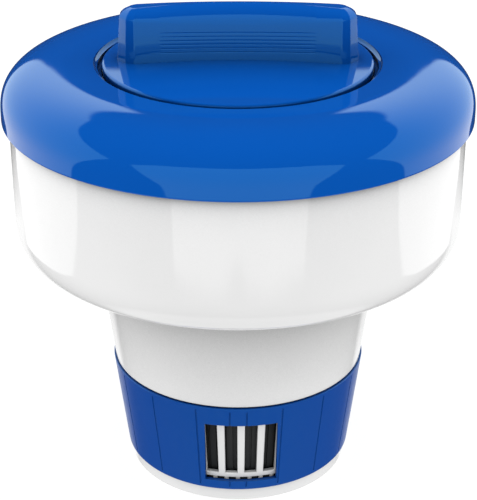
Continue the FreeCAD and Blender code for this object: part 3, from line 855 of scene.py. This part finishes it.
# ---- shader trees -----------------------------------------------------------
class Tree:
    """Short calls that add nodes to a shader tree and join them."""

    def __init__(self, tree):
        self.tree = tree
        tree.nodes.clear()

    def node(self, kind, inputs=None, **settings):
        made = self.tree.nodes.new(kind)
        for key, value in settings.items():
            setattr(made, key, value)
        for key, value in (inputs or {}).items():
            self.feed(made, key, value)
        return made

    def feed(self, made, key, value):
        if isinstance(value, bpy.types.NodeSocket):
            self.tree.links.new(value, made.inputs[key])
        else:
            made.inputs[key].default_value = value

    def math(self, operation, a, b=0.0):
        return self.node("ShaderNodeMath", {0: a, 1: b}, operation=operation).outputs[0]

    def dot(self, a, b):
        return self.node("ShaderNodeVectorMath", {0: a, 1: b}, operation="DOT_PRODUCT").outputs["Value"]

    def remap(self, value, low, high, to_low=0.0, to_high=1.0, kind="LINEAR"):
        made = self.node("ShaderNodeMapRange", {"Value": value, "From Min": low, "From Max": high,
                                                "To Min": to_low, "To Max": to_high},
                         interpolation_type=kind, clamp=True)
        return made.outputs["Result"]

    def noise(self, vector, scale, detail=2.0):
        made = self.node("ShaderNodeTexNoise", {"Vector": vector, "Scale": scale, "Detail": detail})
        return made.outputs["Fac"]

    def mix(self, factor, a, b):
        return self.node("ShaderNodeMix", {0: factor, 2: a, 3: b}).outputs[0]

    def mix_colour(self, factor, a, b, kind="MIX"):
        """A colour is three numbers or another node's output."""
        a, b = [(*colour, 1) if isinstance(colour, tuple) else colour for colour in (a, b)]
        made = self.node("ShaderNodeMix", {0: factor, 6: a, 7: b}, data_type="RGBA", blend_type=kind)
        return made.outputs[2]


# ---- studio -----------------------------------------------------------------
CAMERA_DISTANCE = 0.6821
CAMERA_ELEVATION = 25.61
LOOK_AT = Vector((0.0, 0.0, 0.1017))
LENS = 107.5
SENSOR = 36.0
SHIFT_X = 0.001

FLOOR_HALF = 6.0
FLOOR_GAP = 0.0004
FLOOR_GLOW = 0.82
FLOOR_ALBEDO = 0.22
FLOOR_CLOUDS = 3.0

SKY_TOP = 1.48
SKY_LOW = 0.96
SKY_SIDES = 1.75          # the sky is this much brighter to the left and right
SIDES_FROM = 0.55
ROOM_GLOSS = 0.03
BACKDROP = 1.05
EDGE_BLUR = 0.02
SOFTBOX_GLOW = 1.45
HIGH_HUE = (0.8, 0.98, 1.05)         # reflections from above the horizon are on the cool side
HIGH_FROM = -0.35
BELOW_FROM = -0.80        # far below and behind, reflections see the white table
BELOW_TO = -0.88
BEHIND_FROM = 0.62
BEHIND_TO = 0.72
BEHIND_TOP = -0.36
BEHIND_BLUR = 0.05

# Corners of the softboxes as (azimuth, elevation) in degrees. Azimuth 0 is the front, and all
# are mirrored to the other side. Neighbouring corners are joined by straight edges.
FRONT_BOX = [(-5, -26), (35, -26), (44, -3), (51, 13), (38, 25), (22, 30), (-5, 31)]
SIDE_BOX = [(86, -29), (75, -10), (67.5, 5), (60.5, 16), (75, 30), (92.5, 40), (115, 46),
            (132.5, 48), (152.5, 43.7), (175, 24), (175, -20), (150, -31), (119, -32), (101, -30)]
SIDE_BOX_CUT = [(146, -30), (147, -20), (152.5, -5), (158, 3), (161, 10), (167, 17), (177, 22),
                (179, -30)]


def direction(azimuth, elevation):
    a, e = math.radians(azimuth), math.radians(elevation)
    return Vector((math.sin(a) * math.cos(e), -math.cos(a) * math.cos(e), math.sin(e)))


def inside(tree, way, corners):
    """1 where a direction lies inside a convex outline on the sphere, with a soft edge."""
    result = None
    points = [direction(*corner) for corner in corners]
    centre = sum(points, Vector()).normalized()
    for here, following in zip(points, points[1:] + points[:1]):
        normal = here.cross(following).normalized()
        if normal.dot(centre) < 0:
            normal.negate()
        side = tree.remap(tree.dot(way, normal), -EDGE_BLUR / 2, EDGE_BLUR / 2, kind="SMOOTHSTEP")
        result = side if result is None else tree.math("MULTIPLY", result, side)
    return result


def studio():
    """A sky that lights, softboxes and a table that reflect, and a backdrop for the camera only."""
    world = bpy.data.worlds.new("studio")
    bpy.context.scene.world = world
    world.use_nodes = True
    tree = Tree(world.node_tree)
    way = tree.node("ShaderNodeTexCoord").outputs["Generated"]
    parts = tree.node("ShaderNodeSeparateXYZ", {0: way}).outputs
    sideways = tree.math("ABSOLUTE", parts[0])
    folded = tree.node("ShaderNodeCombineXYZ", {0: sideways, 1: parts[1], 2: parts[2]}).outputs[0]
    cut = tree.math("SUBTRACT", 1.0, inside(tree, folded, SIDE_BOX_CUT))
    side = tree.math("MULTIPLY", inside(tree, folded, SIDE_BOX), cut)
    boxes = tree.math("ADD", inside(tree, folded, FRONT_BOX), side)
    boxes = tree.math("MULTIPLY", boxes, SOFTBOX_GLOW)
    below = tree.remap(parts[2], BELOW_FROM, BELOW_TO)
    low = tree.remap(parts[2], BEHIND_TOP, BEHIND_TOP - BEHIND_BLUR)
    behind = tree.math("MULTIPLY", low, tree.remap(parts[1], BEHIND_FROM, BEHIND_TO))
    gloss = tree.math("MAXIMUM", boxes, tree.math("MAXIMUM", below, behind))
    gloss = tree.math("MAXIMUM", gloss, ROOM_GLOSS)
    sky = tree.remap(parts[2], 0.0, 1.0, SKY_LOW, SKY_TOP)
    sky = tree.math("MULTIPLY", sky, tree.remap(sideways, SIDES_FROM, 1.0, 1.0, SKY_SIDES))
    rays = tree.node("ShaderNodeLightPath").outputs
    level = tree.mix(rays["Is Glossy Ray"], sky, gloss)
    level = tree.mix(rays["Is Camera Ray"], level, BACKDROP)
    cool = tree.math("MULTIPLY", rays["Is Glossy Ray"], tree.remap(parts[2], HIGH_FROM, 0.0))
    hue = tree.mix_colour(cool, (1, 1, 1), HIGH_HUE)
    background = tree.node("ShaderNodeBackground", {"Strength": level, "Color": hue})
    tree.node("ShaderNodeOutputWorld", {"Surface": background.outputs[0]})


def floor():
    """White table that glows, with enough plain white in it to take the object's soft shadow."""
    mesh = bpy.data.meshes.new("floor")
    half = FLOOR_HALF
    low = CAD_BOX[0].z - FLOOR_GAP
    mesh.from_pydata([(-half, -half, low), (half, -half, low), (half, half, low), (-half, half, low)],
                     [], [(0, 1, 2, 3)])
    made = bpy.data.objects.new("floor", mesh)
    bpy.context.scene.collection.objects.link(made)
    material = bpy.data.materials.new("floor_white")
    material.use_nodes = True
    tree = Tree(material.node_tree)
    position = tree.node("ShaderNodeTexCoord").outputs["Object"]
    cloud = tree.noise(position, FLOOR_CLOUDS)
    grain = tree.remap(cloud, 0.0, 1.0, FLOOR_ALBEDO * CLOUD_DARK, FLOOR_ALBEDO)
    diffuse = tree.node("ShaderNodeBsdfDiffuse", {"Color": grain})
    glow = tree.node("ShaderNodeEmission", {"Strength": FLOOR_GLOW})
    both = tree.node("ShaderNodeAddShader", {0: diffuse.outputs[0], 1: glow.outputs[0]})
    tree.node("ShaderNodeOutputMaterial", {"Surface": both.outputs[0]})
    mesh.materials.append(material)
    made.visible_glossy = False
    made.visible_shadow = False
    made.visible_diffuse = False


def camera():
    """Long lens, from the front and a little above."""
    data = bpy.data.cameras.new("camera")
    data.lens = LENS
    data.sensor_width = SENSOR
    data.shift_x = SHIFT_X
    made = bpy.data.objects.new("camera", data)
    bpy.context.scene.collection.objects.link(made)
    made.location = LOOK_AT + direction(0, CAMERA_ELEVATION) * CAMERA_DISTANCE
    made.rotation_euler = (math.radians(90 - CAMERA_ELEVATION), 0, 0)
    bpy.context.scene.camera = made


# ---- materials --------------------------------------------------------------
CLOUDS = 22.0             # scales of the noise that shades, roughens and ripples a surface
GRAIN = 300.0
SWELL = 140.0
CLOUD_DARK = 0.97
GRAIN_SHARE = 0.08
SWELL_DEPTH = 0.0002
NOISE_LOW = 0.3           # the part of the noise that is used
NOISE_HIGH = 0.7
SHEEN_FROM = 0.18         # painted shade on the gloss: deep in a gap the reflection fades between these shares of open sky
SHEEN_FULL = 0.48
NECK_BLEND = 4.0          # the neck's painted crevice shade is full this far above the shoulder, in mm
# painted shade between the detent teeth: how dark it is, then its mask's margin and blur in mm
ROOT_SHADE = 0.06
ROOT_MARGIN = 0.1
ROOT_BLUR = 0.15
# strength of the painted crevice shade on the chamber and on the neck
CHAMBER_CREVICE = 0.3
NECK_CREVICE = 2.3


def plastic(name, colour, roughness, ripple, tint=(1, 1, 1), crevice=0.6, reach=0.06, neck=False,
            metal=0.0):
    """Moulded plastic or metal: faint clouds, uneven gloss, a soft ripple, and painted shade in
    crevices and on the gloss in gaps.

    With neck set, the painted crevice shade is light on the chamber and deep above its shoulder
    instead.
    """
    material = bpy.data.materials.new(name)
    material.use_nodes = True
    tree = Tree(material.node_tree)
    position = tree.node("ShaderNodeTexCoord").outputs["Object"]
    cloud = tree.remap(tree.noise(position, CLOUDS, 3.0), NOISE_LOW, NOISE_HIGH)
    shade = tree.mix_colour(cloud, tuple(part * CLOUD_DARK for part in colour), colour)
    open_sky = tree.node("ShaderNodeAmbientOcclusion", {"Distance": reach}, samples=8).outputs["AO"]
    if neck:
        height = tree.node("ShaderNodeSeparateXYZ", {0: position}).outputs[2]
        crevice = tree.remap(height, SHOULDER * MM, (SHOULDER + NECK_BLEND) * MM, CHAMBER_CREVICE,
                             NECK_CREVICE)
    # painted shade: the base colour darkens where the AO node finds little open sky
    depth = tree.math("POWER", open_sky, crevice)
    if neck:
        # painted shade deep between the detent teeth
        depth = tree.math("MULTIPLY", depth, tooth_root_shade(tree, position))
    # painted shade on the gloss: its specular level follows the open sky
    sheen = tree.remap(open_sky, SHEEN_FROM, SHEEN_FULL, 0.0, 0.5)
    shade = tree.mix_colour(1.0, shade, depth, "MULTIPLY")
    rough = tree.remap(tree.noise(position, GRAIN), NOISE_LOW, NOISE_HIGH,
                       roughness * (1 - GRAIN_SHARE), roughness * (1 + GRAIN_SHARE))
    swell = tree.noise(position, SWELL, 1.0)
    bump = tree.node("ShaderNodeBump", {"Height": swell, "Strength": ripple, "Distance": SWELL_DEPTH})
    shader = tree.node("ShaderNodeBsdfPrincipled", {
        "Base Color": shade, "Roughness": rough, "IOR": 1.5, "Specular Tint": (*tint, 1),
        "Metallic": metal, "Specular IOR Level": sheen, "Normal": bump.outputs[0]})
    tree.node("ShaderNodeOutputMaterial", {"Surface": shader.outputs[0]})
    return material


def tooth_root_shade(tree, position):
    """Painted shade in the deep recess between the detent teeth: dark there, 1 elsewhere."""
    parts = tree.node("ShaderNodeSeparateXYZ", {0: position}).outputs
    flat = tree.node("ShaderNodeCombineXYZ", {0: parts[0], 1: parts[1]}).outputs[0]
    radius = tree.node("ShaderNodeVectorMath", {0: flat}, operation="LENGTH").outputs["Value"]
    far, top = TOOTH_ROOT_R + ROOT_MARGIN, TOOTH_TOP + ROOT_MARGIN
    limits = [
        tree.remap(radius, (TOOTH_ROOT_R - 1) * MM, (far - 1) * MM),
        tree.remap(radius, far * MM, (far + ROOT_BLUR) * MM, 1.0, 0.0),
        tree.remap(parts[2], top * MM, (top + ROOT_BLUR) * MM, 1.0, 0.0),
        tree.remap(parts[2], (CHAMBER_LOW - ROOT_MARGIN) * MM, CHAMBER_LOW * MM),
    ]
    where = limits[0]
    for limit in limits[1:]:
        where = tree.math("MULTIPLY", where, limit)
    return tree.remap(where, 0.0, 1.0, 1.0, ROOT_SHADE)


BLUE_TINT = (0.28, 0.85, 1.0)
# crevice and reach set each material's painted crevice shade
MATERIALS = {
    "blue_plastic": plastic("blue_gloss", (0.002, 0.077, 0.385), 0.04, 0.015, tint=BLUE_TINT,
                            crevice=0.85, reach=0.03),
    "ring_plastic": plastic("ring_blue", (0.001, 0.051, 0.295), 0.34, 0.0, tint=BLUE_TINT,
                            crevice=0.5, reach=0.02),
    "white_plastic": plastic("white_gloss", (0.72, 0.72, 0.72), 0.05, 0.015, neck=True),
    "black_plastic": plastic("black_matte", (0.016, 0.016, 0.016), 0.5, 0.1),
    "seal_rubber": plastic("rubber", (0.03, 0.03, 0.03), 0.6, 0.1),
    "ballast_steel": plastic("zinc", (0.45, 0.45, 0.44), 0.35, 0.1, metal=1.0),
    "screw_steel": plastic("steel", (0.6, 0.6, 0.6), 0.3, 0.1, metal=1.0),
}
SLOT_OF = {part["node"]: part["material_slot"] for part in frame["record"]["subparts"]}
for name, node in NODES.items():
    node.data.materials.clear()
    node.data.materials.append(MATERIALS[SLOT_OF[name]])

bpy.context.scene.view_settings.view_transform = "Standard"
float_body()
tablet_basket()
control_ring()
top_cover()
lid()
base_cap()
studio()
floor()
camera()
